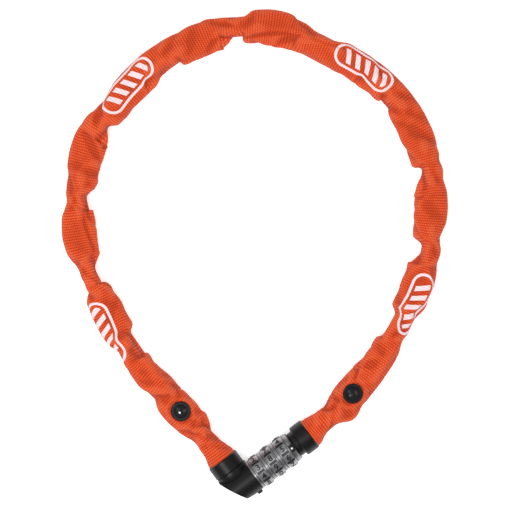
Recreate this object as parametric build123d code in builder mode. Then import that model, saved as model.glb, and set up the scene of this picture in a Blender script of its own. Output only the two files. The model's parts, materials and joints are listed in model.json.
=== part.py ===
"""Combination chain lock: a sleeved steel chain in a loop, closed by a three-dial elbow lock.

The loop lies flat. The origin is under the middle of the loop, on the surface that it lies on.
+X runs across the loop, +Y from the lock to the far end of the loop, and +Z is up.
"""

import os
from math import atan2, cos, degrees, pi, radians, sin

from build123d import *

os.makedirs("parts", exist_ok=True)

# ---------------------------------------------------------------- driving dimensions, mm

AXIS_HEIGHT = 8.5  # the chain's and the lock's centre line above the surface
LOCK_CENTRE = (8.75, -102.8)  # the middle dial's centre, seen from above
LOCK_ANGLE = 36.87  # the lock axis from +X
DIAL_PITCH = 7.5
DIAL_CENTRES = (-DIAL_PITCH, 0.0, DIAL_PITCH)  # along the lock axis
DIAL_WIDTH = 5.84
DIAL_RADIUS = 7.85  # the rims beside the number pads, and every fixed ring between the dials
PAD_RADIUS = 8.5  # the raised number pads
PAD_LENGTH = 4.4
DIGITS = 10
SLOT_WIDTH = 1.35  # the grooves between the pads
SLOT_FLOOR_RADIUS = 7.3
SPACER_WIDTH = 1.5
PAD_CHAMFER = 0.3
INDEX_MARK = (1.2, 0.9, 0.35)  # the index ring's notch: along the axis, round the ring, and deep
END_MARK = (1.3, 1.5, 0.6)  # the end ring's recess
END_RING_TIP_RADIUS = 7.2

BARREL_RADIUS = 3.8
BARREL_BORE = 3.0
BARREL_ENDS = (-16.0, 13.0)
FIN_SLOT = 2.2  # the slot in the barrel that the bolt's fins slide in
HUB_RADIUS = 5.5
HUB_SPLINE_RADIUS = 5.8
HUB_SPLINE_WIDTH = 0.8
HUB_BORE = 3.9
HUB_POCKET_RADIUS = 5.0  # room for a fin while the dial turns
HUB_FLANGE = 2.5
GATE_WIDTH = 2.4
RUNNING_GAP = 0.1
BARREL_PIN_U = -14.6
BARREL_PIN_RADIUS = 0.9
SPRING_SEAT_U = -13.4  # the floor of the seat behind the stack of dials
SPRING_SEAT_RADIUS = 5.4
DETENT_SEAT = (4.3, 5.4, 0.5)  # the seat for a detent spring: inner and outer radius, and deep
DETENT_SPRING = (4.4, 5.3, 0.35)

BOLT_RADIUS = 2.9
BOLT_TIP = -10.0
BOLT_ROOT = 16.2
FIN_RADIUS = 4.8
FIN_WIDTH = 1.8
FIN_LENGTH = 2.0
FIN_OFFSET = -1.3  # from a dial's centre to its fin's centre
NECK_START = 13.2
NECK_RADIUS = 6.6
CROSS_PIN_U = 14.6
CROSS_PIN_RADIUS = 0.8
COLLAR_START = 15.9
COLLAR_END = 23.0
COLLAR_RADIUS = 8.25
COLLAR_BORE = 7.35
MOUTH_BORE = 7.65  # where the sleeve's end is tucked in
MOUTH_DEPTH = 1.4
RIGHT_PIN_U = 23.0
PIN_TO_CHEEK_END = 2.6  # the clevis cheeks reach this far past a chain pin, inside the sleeve
CHEEK_RADIUS = 7.15  # where the sleeve covers the cheeks

ELBOW_U = -20.0  # the left collar's axis crosses the lock axis here
ELBOW_RADIUS = 8.1
CORE_RADIUS = 6.2
SOCKET_END = 8.7  # where the housing ends and the left collar starts
LEFT_COLLAR_END = 16.0
LEFT_PIN_W = 16.0
HOUSING_END_U = -11.5

WIRE_RADIUS = 2.0
LINK_INNER_LENGTH = 22.0
LINK_INNER_WIDTH = 6.4
LINKS = 27
PIN_RADIUS = 2.0
PIN_HALF = 6.6
PIN_TO_CONTACT = 1.6  # a collar's pin stands this far up the chain from the first contact point
CLEVIS_SLOT = 4.6
PIN_TO_CLEVIS_FLOOR = 6.6

SLEEVE_WALL = 0.6
SLEEVE_GAP = 0.5  # from a chain pivot to the end of the sleeve length beside it
MOUTH_SLEEVE_RADIUS = 7.6
MOUTH_SLEEVE_WALL = 0.3

RIVETS = {2: (-37.1, -77.6), 26: (48.4, -68.8)}  # by the flat link that each one goes through
RIVET_RADIUS = 5.0
RIVET_SHAFT = 1.5

# The chain's route between its two ends, seen from above. The lock gives the ends themselves.
ROUTE = [
    (-28, -87.4), (-45.5, -68.9), (-63, -47.4), (-77, -22.9), (-86, 1.6), (-88, 28.6),
    (-82, 56.6), (-65.5, 80.1), (-41.5, 99.6), (-13.5, 112.1), (15, 111.6), (44, 99.1),
    (68, 80.1), (83.5, 54.6), (88, 24.6), (83, -9.4), (70, -38.9), (53.5, -63.9),
]

# ---------------------------------------------------------------- planes and small helpers

AXIS_DIR = Vector(cos(radians(LOCK_ANGLE)), sin(radians(LOCK_ANGLE)), 0)
SIDE_DIR = Vector(-AXIS_DIR.Y, AXIS_DIR.X, 0)  # across the lock, towards the inside of the loop
UP = Vector(0, 0, 1)
# In the lock's plane x runs along the lock axis, away from the elbow, and y towards the loop.
LOCK_PLANE = Plane(origin=(*LOCK_CENTRE, AXIS_HEIGHT), x_dir=AXIS_DIR, z_dir=UP)


def lock_point(u, w, height=0.0):
    """A point u along the lock axis and w towards the loop, height above the axis."""
    return LOCK_PLANE.from_local_coords((u, w, height))


def across_lock(u):
    """The plane across the lock axis at u, with x towards the loop and y up."""
    return Plane(origin=lock_point(u, 0), x_dir=SIDE_DIR, z_dir=AXIS_DIR)


def across_elbow(w):
    """The plane across the left collar's axis at w, with x along the lock axis and y down."""
    return Plane(origin=lock_point(ELBOW_U, w), x_dir=AXIS_DIR, z_dir=SIDE_DIR)


LOCK_AXIS = Axis(lock_point(0, 0), AXIS_DIR)
ELBOW_AXIS = Axis(lock_point(ELBOW_U, 0), SIDE_DIR)
DOWN_ANGLE = -90  # in a plane across the lock, where the fins and the gates point


def turned_on_lock(profile):
    """A solid turned about the lock axis from points (along the axis, radius)."""
    with BuildPart() as turned:
        with BuildSketch(LOCK_PLANE):
            with BuildLine():
                Polyline(*profile, close=True)
            make_face()
        revolve(axis=LOCK_AXIS)
    return turned.part


def turned_on_elbow(profile):
    """A solid turned about the left collar's axis from points (along the axis, radius)."""
    with BuildPart() as turned:
        with BuildSketch(LOCK_PLANE):
            with BuildLine():
                Polyline(*[(ELBOW_U + r, w) for w, r in profile], close=True)
            make_face()
        revolve(axis=ELBOW_AXIS)
    return turned.part


def save(part, label):
    part.label = label
    export_step(part, f"parts/{label}.step")


# ---------------------------------------------------------------- dials and their code hubs


def dial(u):
    """One number dial: ten raised pads between two rims, splined to its code hub."""
    with BuildPart() as name:
        with BuildSketch(across_lock(u)):
            Circle(DIAL_RADIUS)
        extrude(amount=DIAL_WIDTH / 2, both=True)
        with BuildSketch(across_lock(u)):
            Circle(PAD_RADIUS)
            with PolarLocations(PAD_RADIUS, DIGITS, start_angle=90):
                Rectangle(2 * (PAD_RADIUS - SLOT_FLOOR_RADIUS), SLOT_WIDTH, mode=Mode.SUBTRACT)
        extrude(amount=PAD_LENGTH / 2, both=True)
        with BuildSketch(across_lock(u)):
            with PolarLocations(PAD_RADIUS, DIGITS, start_angle=90):
                Rectangle(2 * (PAD_RADIUS - SLOT_FLOOR_RADIUS), SLOT_WIDTH)
        extrude(amount=PAD_LENGTH / 2, both=True, mode=Mode.SUBTRACT)
        pad_rims = name.edges().filter_by(GeomType.CIRCLE)
        pad_rims = [e for e in pad_rims if abs(e.radius - PAD_RADIUS) < 0.01]
        chamfer(pad_rims, PAD_CHAMFER)
        with BuildSketch(across_lock(u)):
            Circle(HUB_RADIUS + RUNNING_GAP)
            with PolarLocations(HUB_RADIUS, DIGITS):
                Rectangle(
                    2 * (HUB_SPLINE_RADIUS + RUNNING_GAP - HUB_RADIUS), HUB_SPLINE_WIDTH + 2 * RUNNING_GAP
                )
        extrude(amount=DIAL_WIDTH, both=True, mode=Mode.SUBTRACT)
    return name.part


def code_hub(u):
    """The hub inside a dial: a flange whose gate lets a fin past, and a pocket for the fin."""
    start = u - DIAL_WIDTH / 2
    end = u + DIAL_WIDTH / 2
    with BuildPart() as name:
        with BuildSketch(across_lock(start)):
            Circle(HUB_RADIUS)
            with PolarLocations(HUB_RADIUS, DIGITS):
                Rectangle(2 * (HUB_SPLINE_RADIUS - HUB_RADIUS), HUB_SPLINE_WIDTH)
        extrude(amount=end - start)
        with BuildSketch(across_lock(start)):
            Circle(HUB_BORE)
            with PolarLocations(HUB_BORE / 2 + HUB_POCKET_RADIUS / 2, 1, start_angle=DOWN_ANGLE):
                Rectangle(HUB_POCKET_RADIUS - HUB_BORE / 2, GATE_WIDTH)
        extrude(amount=end - start, mode=Mode.SUBTRACT)
        with BuildSketch(across_lock(start)):
            Circle(HUB_POCKET_RADIUS)
        extrude(amount=end - start - HUB_FLANGE, mode=Mode.SUBTRACT)
    return name.part


for number, centre in enumerate(DIAL_CENTRES, start=1):
    save(dial(centre), f"dial_{number}")
    save(code_hub(centre), f"code_hub_{number}")

# ---------------------------------------------------------------- barrel, fixed rings and springs

with BuildPart() as barrel:
    add(turned_on_lock([
        (BARREL_ENDS[0], BARREL_BORE), (BARREL_ENDS[0], BARREL_RADIUS),
        (BARREL_ENDS[1], BARREL_RADIUS), (BARREL_ENDS[1], BARREL_BORE),
    ]))
    with BuildSketch(across_lock(BOLT_TIP - 0.5)):
        with Locations((0, -BARREL_RADIUS)):
            Rectangle(FIN_SLOT, 3)
    extrude(amount=BARREL_ENDS[1] - BOLT_TIP + 1, mode=Mode.SUBTRACT)
    with BuildSketch(Plane(origin=lock_point(BARREL_PIN_U, 0), z_dir=SIDE_DIR)):
        Circle(BARREL_PIN_RADIUS)
    extrude(amount=BARREL_RADIUS + 1, both=True, mode=Mode.SUBTRACT)
save(barrel.part, "barrel")


def fixed_ring(start, end, end_radius=DIAL_RADIUS):
    """A ring fixed on the barrel, with the fins' way through it and a seat for a detent spring."""
    seat_inner, seat_outer, seat_depth = DETENT_SEAT
    with BuildPart() as name:
        add(turned_on_lock([
            (start, BARREL_RADIUS), (start, DIAL_RADIUS), ((start + end) / 2, DIAL_RADIUS),
            (end, end_radius), (end, BARREL_RADIUS),
        ]))
        with BuildSketch(across_lock(start)):
            with Locations((0, -HUB_POCKET_RADIUS + 1)):
                Rectangle(FIN_SLOT, 2)
        extrude(amount=end - start, mode=Mode.SUBTRACT)
        seat = end - seat_depth if end_radius == DIAL_RADIUS else start
        with BuildSketch(across_lock(seat)):
            Circle(seat_outer)
            Circle(seat_inner, mode=Mode.SUBTRACT)
        extrude(amount=seat_depth, mode=Mode.SUBTRACT)
    return name.part


with BuildPart() as index_ring:
    mark_length, mark_width, mark_depth = INDEX_MARK
    add(turned_on_lock([
        (HOUSING_END_U, SPRING_SEAT_RADIUS), (HOUSING_END_U, DIAL_RADIUS),
        (HOUSING_END_U + 1, DIAL_RADIUS), (HOUSING_END_U + 1, SPRING_SEAT_RADIUS),
    ]))
    notch_floor = lock_point(HOUSING_END_U + 0.5, 0, DIAL_RADIUS - mark_depth)
    with BuildSketch(Plane(origin=notch_floor, x_dir=AXIS_DIR)):
        Rectangle(mark_length, mark_width)
    extrude(amount=1, mode=Mode.SUBTRACT)
save(index_ring.part, "index_ring")

spacer_starts = [centre + DIAL_PITCH / 2 - SPACER_WIDTH / 2 for centre in DIAL_CENTRES[:2]]
spacers = [fixed_ring(start, start + SPACER_WIDTH) for start in spacer_starts]
save(Compound(children=spacers), "spacer_rings")

END_RING_START = DIAL_CENTRES[2] + DIAL_PITCH / 2 - SPACER_WIDTH / 2
with BuildPart() as end_ring:
    mark_length, mark_width, mark_depth = END_MARK
    add(fixed_ring(END_RING_START, BARREL_ENDS[1], end_radius=END_RING_TIP_RADIUS))
    recess_floor = lock_point(END_RING_START + 1.1, 0, DIAL_RADIUS - mark_depth)
    with BuildSketch(Plane(origin=recess_floor, x_dir=AXIS_DIR)):
        Rectangle(mark_length, mark_width)
    extrude(amount=1.5, mode=Mode.SUBTRACT)
save(end_ring.part, "end_ring")


def detent_spring(start):
    """A thin split ring that presses on a code hub's face."""
    inner_radius, outer_radius, thickness = DETENT_SPRING
    with BuildPart() as name:
        with BuildSketch(across_lock(start)):
            Circle(outer_radius)
            Circle(inner_radius, mode=Mode.SUBTRACT)
            with Locations((0, -HUB_POCKET_RADIUS + 0.5)):
                Rectangle(FIN_SLOT + 0.6, 2, mode=Mode.SUBTRACT)
        extrude(amount=thickness)
    return name.part


detents = [detent_spring(start + SPACER_WIDTH - DETENT_SEAT[2]) for start in spacer_starts]
detents.append(detent_spring(END_RING_START + 0.15))
save(Compound(children=detents), "detent_springs")

# Two dished washers, small ends together, push the stack of dials towards the end ring.
DISC_THICKNESS = 0.35
DISC_RISE = 0.8
disc_springs = []
far_foot = SPRING_SEAT_U + 2 * (DISC_RISE + DISC_THICKNESS)
for foot, rise in ((SPRING_SEAT_U, DISC_RISE), (far_foot, -DISC_RISE)):
    step = DISC_THICKNESS if rise > 0 else -DISC_THICKNESS
    disc_springs.append(turned_on_lock([
        (foot, 5.3), (foot + step, 5.3), (foot + rise + step, 4.0), (foot + rise, 4.0),
    ]))
save(Compound(children=disc_springs), "stack_springs")

# ---------------------------------------------------------------- lock frame and housing


def cheek_profile(collar_end, pin):
    """The end of a clevis: a seat for the collar, then cheeks that reach into the sleeve."""
    end = pin + PIN_TO_CHEEK_END
    mouth = collar_end - MOUTH_DEPTH
    return [
        (mouth, COLLAR_BORE), (mouth + 0.3, CHEEK_RADIUS), (end - 1, CHEEK_RADIUS), (end, 6.2), (end, 0),
    ]


# Seen from above, in the lock's plane: the housing, and the cast core behind its slanted corner.
HOUSING_OUTLINE = [
    (HOUSING_END_U, -7.6), (-15.8, -8.1), (-21.2, -7.2), (-28.1, 7.0), (-28.1, SOCKET_END),
    (-11.9, SOCKET_END), (HOUSING_END_U, 7.4),
]
CORE_OUTLINE = [
    (HOUSING_END_U, -6.5), (-19.8, -6.5), (-26.6, 7.7), (-26.6, SOCKET_END), (HOUSING_END_U, SOCKET_END),
]


def lock_core():
    """The cast core's outside: the barrel's seat and the left collar's stub."""
    with BuildPart() as name:
        add(turned_on_lock([(-24, 0), (-24, CORE_RADIUS), (HOUSING_END_U, CORE_RADIUS), (HOUSING_END_U, 0)]))
        add(turned_on_elbow([(0, 0), (0, CORE_RADIUS), (SOCKET_END, CORE_RADIUS), (SOCKET_END, 0)]))
        with BuildSketch(LOCK_PLANE):
            with BuildLine():
                Polyline(*CORE_OUTLINE, close=True)
            make_face()
        extrude(amount=CORE_RADIUS, both=True, mode=Mode.INTERSECT)
    return name.part


def lever_block(u, length, height, near, far):
    """A block in the lock's outer side, where the code change lever is, from near to far from the axis."""
    with BuildPart() as name:
        with BuildSketch(Plane(origin=lock_point(u, -near), x_dir=AXIS_DIR, z_dir=-SIDE_DIR)):
            Rectangle(length, height)
        extrude(amount=far - near)
    return name.part


with BuildPart() as lock_frame:
    add(lock_core())
    add(turned_on_elbow(
        [(SOCKET_END, 0), (SOCKET_END, COLLAR_BORE)] + cheek_profile(LEFT_COLLAR_END, LEFT_PIN_W)
    ))
    with BuildSketch(across_elbow(LEFT_PIN_W - PIN_TO_CLEVIS_FLOOR)):
        Rectangle(CLEVIS_SLOT, 40)
    extrude(amount=20, mode=Mode.SUBTRACT)
    with BuildSketch(Plane(origin=lock_point(ELBOW_U, LEFT_PIN_W), x_dir=SIDE_DIR, z_dir=AXIS_DIR)):
        Circle(PIN_RADIUS)
    extrude(amount=20, both=True, mode=Mode.SUBTRACT)
    add(turned_on_lock([
        (BARREL_ENDS[0], 0), (BARREL_ENDS[0], BARREL_RADIUS), (HOUSING_END_U, BARREL_RADIUS),
        (HOUSING_END_U, 0),
    ]), mode=Mode.SUBTRACT)
    add(turned_on_lock([
        (SPRING_SEAT_U, BARREL_RADIUS), (SPRING_SEAT_U, SPRING_SEAT_RADIUS),
        (HOUSING_END_U, SPRING_SEAT_RADIUS), (HOUSING_END_U, BARREL_RADIUS),
    ]), mode=Mode.SUBTRACT)
    with BuildSketch(Plane(origin=lock_point(BARREL_PIN_U, 0), z_dir=SIDE_DIR)):
        Circle(BARREL_PIN_RADIUS)
    extrude(amount=5, both=True, mode=Mode.SUBTRACT)
    add(lever_block(-16.5, 7.2, 3.6, 5.1, 8), mode=Mode.SUBTRACT)
save(lock_frame.part, "lock_frame")

KNUCKLE_W = 8.0

with BuildPart() as housing_jacket:
    # A round back along the lock axis, over a flat foot that the lock rests on.
    with BuildSketch(across_lock(HOUSING_END_U)):
        Circle(ELBOW_RADIUS)
        with Locations((0.3, -AXIS_HEIGHT / 2)):
            Rectangle(17.0, AXIS_HEIGHT)
    extrude(amount=-17)
    with BuildSketch(LOCK_PLANE):
        with BuildLine():
            Polyline(*HOUSING_OUTLINE, close=True)
        make_face()
    extrude(amount=ELBOW_RADIUS + 1, both=True, mode=Mode.INTERSECT)
    foot_edges = housing_jacket.edges().group_by(Axis.Z)[0]
    chamfer(foot_edges, 1.2)
    slanted_side = housing_jacket.edges().filter_by(Axis.Z)
    fillet(slanted_side, 0.6)
    # The domed end of the collar's socket stands out of the back.
    with Locations(Plane(origin=lock_point(ELBOW_U, KNUCKLE_W))):
        Sphere(ELBOW_RADIUS)
    add(turned_on_elbow([
        (KNUCKLE_W, 0), (KNUCKLE_W, ELBOW_RADIUS), (SOCKET_END, ELBOW_RADIUS), (SOCKET_END, 0),
    ]))
    split(bisect_by=across_elbow(SOCKET_END), keep=Keep.BOTTOM)
    add(lock_core(), mode=Mode.SUBTRACT)
    add(lever_block(-15.6, 5.6, 2.1, 5, 12), mode=Mode.SUBTRACT)
save(housing_jacket.part, "housing_jacket")

LEVER_U = -14.3
with BuildPart() as code_change_lever:
    add(lever_block(LEVER_U - 1.2, 3.6, 3.3, 5.2, 5.9))
    add(lever_block(LEVER_U, 2.6, 1.9, 5.9, 9.2))
    chamfer(code_change_lever.edges().group_by(Axis(lock_point(0, 0), -SIDE_DIR))[-1], 0.3)
save(code_change_lever.part, "code_change_lever")


def cross_pin(centre, direction, radius, half_length):
    """A straight pin with broken ends, centred on a point."""
    with BuildPart() as name:
        with BuildSketch(Plane(origin=centre, z_dir=direction)):
            Circle(radius)
        extrude(amount=half_length, both=True)
        chamfer(name.edges().filter_by(GeomType.CIRCLE), 0.2)
    return name.part


save(cross_pin(lock_point(BARREL_PIN_U, 0), SIDE_DIR, BARREL_PIN_RADIUS, 5.0), "barrel_pin")
save(cross_pin(lock_point(ELBOW_U, LEFT_PIN_W), AXIS_DIR, PIN_RADIUS, PIN_HALF), "chain_pin_left")


def collar_profile(start, end):
    """The section of a collar: outer edges broken, with a wider mouth for the sleeve."""
    edge = 0.5
    return [
        (start, COLLAR_BORE), (start, COLLAR_RADIUS - edge), (start + edge, COLLAR_RADIUS),
        (end - edge, COLLAR_RADIUS), (end, COLLAR_RADIUS - edge), (end, MOUTH_BORE),
        (end - MOUTH_DEPTH, MOUTH_BORE), (end - MOUTH_DEPTH, COLLAR_BORE),
    ]


save(turned_on_elbow(collar_profile(SOCKET_END, LEFT_COLLAR_END)), "collar_left")
save(turned_on_lock(collar_profile(COLLAR_START, COLLAR_END)), "collar_right")

# ---------------------------------------------------------------- bolt and its head

with BuildPart() as bolt:
    add(turned_on_lock([
        (BOLT_TIP, 0), (BOLT_TIP, BOLT_RADIUS - 0.9), (BOLT_TIP + 0.9, BOLT_RADIUS),
        (BOLT_ROOT, BOLT_RADIUS), (BOLT_ROOT, 0),
    ]))
    for centre in DIAL_CENTRES:
        with BuildSketch(across_lock(centre + FIN_OFFSET)):
            with Locations((0, -FIN_RADIUS / 2)):
                Rectangle(FIN_WIDTH, FIN_RADIUS)
        extrude(amount=FIN_LENGTH / 2, both=True)
    with BuildSketch(Plane(origin=lock_point(CROSS_PIN_U, 0), z_dir=UP)):
        Circle(CROSS_PIN_RADIUS)
    extrude(amount=10, both=True, mode=Mode.SUBTRACT)
save(bolt.part, "bolt")

with BuildPart() as bolt_head:
    neck = [
        (NECK_START, 0), (NECK_START, NECK_RADIUS - 0.4), (NECK_START + 0.4, NECK_RADIUS),
        (COLLAR_START, NECK_RADIUS),
    ]
    seat = [(COLLAR_START, COLLAR_BORE)] + cheek_profile(COLLAR_END, RIGHT_PIN_U)
    add(turned_on_lock(neck + seat))
    with BuildSketch(across_lock(RIGHT_PIN_U - PIN_TO_CLEVIS_FLOOR)):
        Rectangle(CLEVIS_SLOT, 40)
    extrude(amount=20, mode=Mode.SUBTRACT)
    bolt_seat = [(NECK_START, 0), (NECK_START, BOLT_RADIUS), (BOLT_ROOT, BOLT_RADIUS), (BOLT_ROOT, 0)]
    add(turned_on_lock(bolt_seat), mode=Mode.SUBTRACT)
    with BuildSketch(Plane(origin=lock_point(CROSS_PIN_U, 0), z_dir=UP)):
        Circle(CROSS_PIN_RADIUS)
    extrude(amount=10, both=True, mode=Mode.SUBTRACT)
    with BuildSketch(Plane(origin=lock_point(RIGHT_PIN_U, 0), x_dir=AXIS_DIR, z_dir=SIDE_DIR)):
        Circle(PIN_RADIUS)
    extrude(amount=20, both=True, mode=Mode.SUBTRACT)
save(bolt_head.part, "bolt_head")

save(cross_pin(lock_point(CROSS_PIN_U, 0), UP, CROSS_PIN_RADIUS, 6.0), "bolt_cross_pin")
save(cross_pin(lock_point(RIGHT_PIN_U, 0), SIDE_DIR, PIN_RADIUS, PIN_HALF), "chain_pin_right")

# ---------------------------------------------------------------- chain

CHAIN_START = lock_point(ELBOW_U, LEFT_PIN_W - PIN_TO_CONTACT)
CHAIN_END = lock_point(RIGHT_PIN_U - PIN_TO_CONTACT, 0)
with BuildLine() as route_line:
    Spline(
        (CHAIN_START.X, CHAIN_START.Y), *ROUTE, (CHAIN_END.X, CHAIN_END.Y),
        tangents=[SIDE_DIR, -AXIS_DIR],
    )
route = route_line.edges()[0]
# Neighbouring links touch, and the chain bends, at these points.
contacts = [route.position_at(k / LINKS) + UP * AXIS_HEIGHT for k in range(LINKS + 1)]


def link_centre(number):
    return (contacts[number - 1] + contacts[number]) / 2


def link_direction(number):
    return (contacts[number] - contacts[number - 1]).normalized()


def link_roll(number):
    """The turn of a link about its own length: 0 lies flat and 90 stands on edge.

    The pins hold the end links on edge and the rivets hold the next ones flat. Beyond each rivet
    two links take up a twist, and from there on the odd links lie flat.
    """
    from_end = min(number, LINKS + 1 - number)
    if from_end <= 2:
        return {1: 90, 2: 0}[from_end]
    if from_end <= 4:
        return 120 * (number - 2)
    return 0 if number % 2 else 90


def chain_link(number):
    """One round wire link, swept round its straight legs and round ends."""
    half_leg = (LINK_INNER_LENGTH - LINK_INNER_WIDTH) / 2
    bend = LINK_INNER_WIDTH / 2 + WIRE_RADIUS
    along = link_direction(number)
    roll = radians(link_roll(number))
    plane = Plane(origin=link_centre(number), x_dir=along, z_dir=UP * cos(roll) + along.cross(UP) * sin(roll))
    with BuildPart() as name:
        with BuildLine(plane) as middle:
            Line((-half_leg, bend), (half_leg, bend))
            CenterArc((half_leg, 0), bend, 90, -180)
            Line((half_leg, -bend), (-half_leg, -bend))
            CenterArc((-half_leg, 0), bend, -90, -180)
        start = plane.from_local_coords((-half_leg, bend, 0))
        with BuildSketch(Plane(origin=start, z_dir=plane.x_dir)):
            Circle(WIRE_RADIUS)
        sweep(path=middle.wires()[0])
    return name.part


# ---------------------------------------------------------------- woven sleeve, in plain lengths

FLAT_LINK_HALVES = (8.6, 4.4)  # half the sleeve's width and height, level with each link's middle
EDGE_LINK_HALVES = (4.8, 8.4)
TWISTED_LINK_HALVES = (7.4, 8.4)
CONTACT_HALVES = (7.9, 8.0)
RIVETED_HALVES = (8.6, 5.4)


def link_halves(number):
    roll = link_roll(number) % 180
    if roll == 0:
        return FLAT_LINK_HALVES
    return EDGE_LINK_HALVES if roll == 90 else TWISTED_LINK_HALVES


def oval(plane, halves, inset):
    """An oval section, half as wide and half as high as halves say, less the inset."""
    width, height = halves[0] - inset, halves[1] - inset
    corners = 12
    with BuildSketch(plane) as section:
        with BuildLine():
            Spline(
                *[(width * cos(2 * pi * k / corners), height * sin(2 * pi * k / corners))
                  for k in range(corners)],
                periodic=True,
            )
        make_face()
    return section.sketch


def sleeve_plane(point, direction):
    """The plane across the sleeve, with x level and y up."""
    return Plane(origin=point, x_dir=direction.cross(UP) * -1, z_dir=direction)


def tube(sections):
    """A hollow sleeve length through sections of (plane, halves, wall)."""
    with BuildPart() as name:
        loft([oval(plane, halves, 0) for plane, halves, wall in sections], ruled=True)
        loft([oval(plane, halves, wall) for plane, halves, wall in sections],
             ruled=True, mode=Mode.SUBTRACT)
    return name.part


def bend_direction(k):
    """The sleeve's direction at contact point k: midway between its two links."""
    return (link_direction(k) + link_direction(k + 1)).normalized()


def link_sections(number):
    """The sleeve's sections over one link: one at its middle, or one each side of its rivet."""
    along = link_direction(number)
    if number in RIVETS:
        middle = Vector(*RIVETS[number], AXIS_HEIGHT)
        reach = RIVET_RADIUS + 0.3
        offset = (middle - link_centre(number)).dot(along)
        points = [link_centre(number) + along * (offset + side * reach) for side in (-1, 1)]
        return [(sleeve_plane(point, along), RIVETED_HALVES, SLEEVE_WALL) for point in points]
    return [(sleeve_plane(link_centre(number), along), link_halves(number), SLEEVE_WALL)]


def contact_section(k, shift=0.0):
    direction = bend_direction(k)
    return sleeve_plane(contacts[k] + direction * shift, direction), CONTACT_HALVES, SLEEVE_WALL


def sleeve_over(first, last):
    """The sleeve over links first to last, ending just short of the pivots at both ends."""
    sections = [contact_section(first - 1, SLEEVE_GAP)]
    for number in range(first, last + 1):
        sections += link_sections(number)
        if number < last:
            sections.append(contact_section(number))
    sections.append(contact_section(last, -SLEEVE_GAP))
    return tube(sections)


def mouth_section(point, direction):
    return sleeve_plane(point, direction), (MOUTH_SLEEVE_RADIUS,) * 2, MOUTH_SLEEVE_WALL


save(chain_link(1), "end_link_left")
save(tube([
    mouth_section(lock_point(ELBOW_U, LEFT_COLLAR_END - MOUTH_DEPTH + 0.2), SIDE_DIR),
    mouth_section(lock_point(ELBOW_U, LEFT_PIN_W + PIN_TO_CHEEK_END + 0.2), SIDE_DIR),
    *link_sections(1), contact_section(1, -SLEEVE_GAP),
]), "sleeve_end_left")
save(chain_link(LINKS), "end_link_right")
save(tube([
    contact_section(LINKS - 1, SLEEVE_GAP), *link_sections(LINKS),
    mouth_section(lock_point(RIGHT_PIN_U + PIN_TO_CHEEK_END + 0.2, 0), -AXIS_DIR),
    mouth_section(lock_point(COLLAR_END - MOUTH_DEPTH + 0.2, 0), -AXIS_DIR),
]), "sleeve_end_right")

# The loop opens between links 14 and 15: seven moving groups follow the lock, and six the bolt.
LEFT_GROUPS = [(2, 3), (4, 5), (6, 7), (8, 9), (10, 11), (12, 13), (14, 14)]
RIGHT_GROUPS = [(25, 26), (23, 24), (21, 22), (19, 20), (17, 18), (15, 16)]
groups = [(f"left_{n}", group) for n, group in enumerate(LEFT_GROUPS, start=1)]
groups += [(f"right_{n}", group) for n, group in enumerate(RIGHT_GROUPS, start=1)]

RIVET_TUBE = 2.4
RIVET_SEAT = RIVETED_HALVES[1] + 0.05  # the sleeve's face under a rivet, above or below the axis

for side, (first, last) in groups:
    save(Compound(children=[chain_link(number) for number in range(first, last + 1)]), f"chain_{side}")
    with BuildPart() as sleeve:
        add(sleeve_over(first, last))
        with BuildSketch(Plane.XY.offset(AXIS_HEIGHT)):
            with Locations(*RIVETS.values()):
                Circle(RIVET_TUBE + 0.2)
        extrude(amount=20, both=True, mode=Mode.SUBTRACT)
    save(sleeve.part, f"sleeve_{side}")


# ---------------------------------------------------------------- rivets


def turned_upright(centre, profile):
    """A solid turned about a vertical axis from points (radius, height above the chain's axis)."""
    upright = Plane(origin=(*centre, AXIS_HEIGHT), x_dir=(1, 0, 0), z_dir=(0, -1, 0))
    with BuildPart() as turned:
        with BuildSketch(upright):
            with BuildLine():
                Polyline(*profile, close=True)
            make_face()
        revolve(axis=Axis((*centre, AXIS_HEIGHT), (0, 0, 1)))
    return turned.part


for side, centre in zip(("left", "right"), RIVETS.values()):
    rim = RIVET_SEAT + 0.9
    with BuildPart() as rivet:
        add(turned_upright(centre, [
            (0, -RIVET_SEAT - 0.4), (RIVET_SHAFT, -RIVET_SEAT - 0.4), (RIVET_SHAFT, RIVET_SEAT),
            (RIVET_RADIUS, RIVET_SEAT), (RIVET_RADIUS, rim - 0.3), (RIVET_RADIUS - 0.5, rim),
            (3.4, rim), (3.0, rim + 0.7), (2.2, rim + 1.2), (1.1, rim + 1.5), (0, rim + 1.6),
        ]))
    save(rivet.part, f"rivet_{side}")
    save(turned_upright(centre, [
        (RIVET_SHAFT, 0), (RIVET_TUBE, 0), (RIVET_TUBE, -RIVET_SEAT), (RIVET_RADIUS, -RIVET_SEAT),
        (RIVET_RADIUS, -RIVET_SEAT - 0.6), (RIVET_RADIUS - 0.4, -RIVET_SEAT - 1),
        (0, -RIVET_SEAT - 1), (0, -RIVET_SEAT - 0.4), (RIVET_SHAFT, -RIVET_SEAT - 0.4),
    ]), f"rivet_back_{side}")


def bend_at(k):
    """The chain's bend at contact point k, in degrees."""
    before, after = link_direction(k), link_direction(k + 1)
    return abs(degrees(atan2(before.cross(after).Z, before.dot(after))))


sharpest = max(bend_at(k) for k in range(1, LINKS))
print(f"chain: {LINKS} links, {route.length / LINKS:.2f} mm apart, sharpest bend {sharpest:.1f} degrees")
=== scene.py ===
import json
import math

import bmesh
import bpy
import numpy as np
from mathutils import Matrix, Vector
from mathutils.bvhtree import BVHTree

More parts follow.
